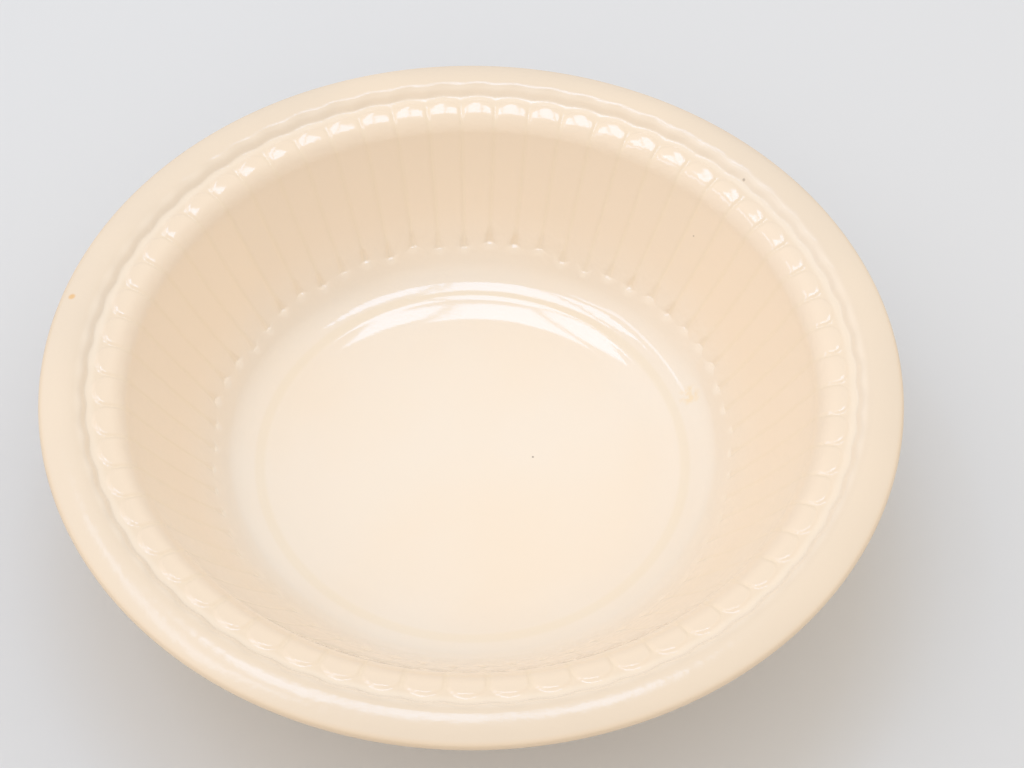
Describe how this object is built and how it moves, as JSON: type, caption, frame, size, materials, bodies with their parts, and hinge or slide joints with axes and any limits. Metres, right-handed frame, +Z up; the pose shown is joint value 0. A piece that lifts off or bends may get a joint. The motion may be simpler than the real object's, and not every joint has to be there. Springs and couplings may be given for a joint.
{
  "type": "serving dish",
  "caption": "Round open ceramic dish with a plain lip, a reeded inner wall, a flat round well and a low foot ring.",
  "frame": {"origin": "centre of the foot ring's resting plane", "axes": "+Z up along the dish's axis, out of its mouth"},
  "size_m": [0.24, 0.24, 0.0578],
  "materials": {
    "cream_glaze": "gloss"
  },
  "bodies": {
    "root": {"dish_body": "cream_glaze"}
  },
  "joints": []
}
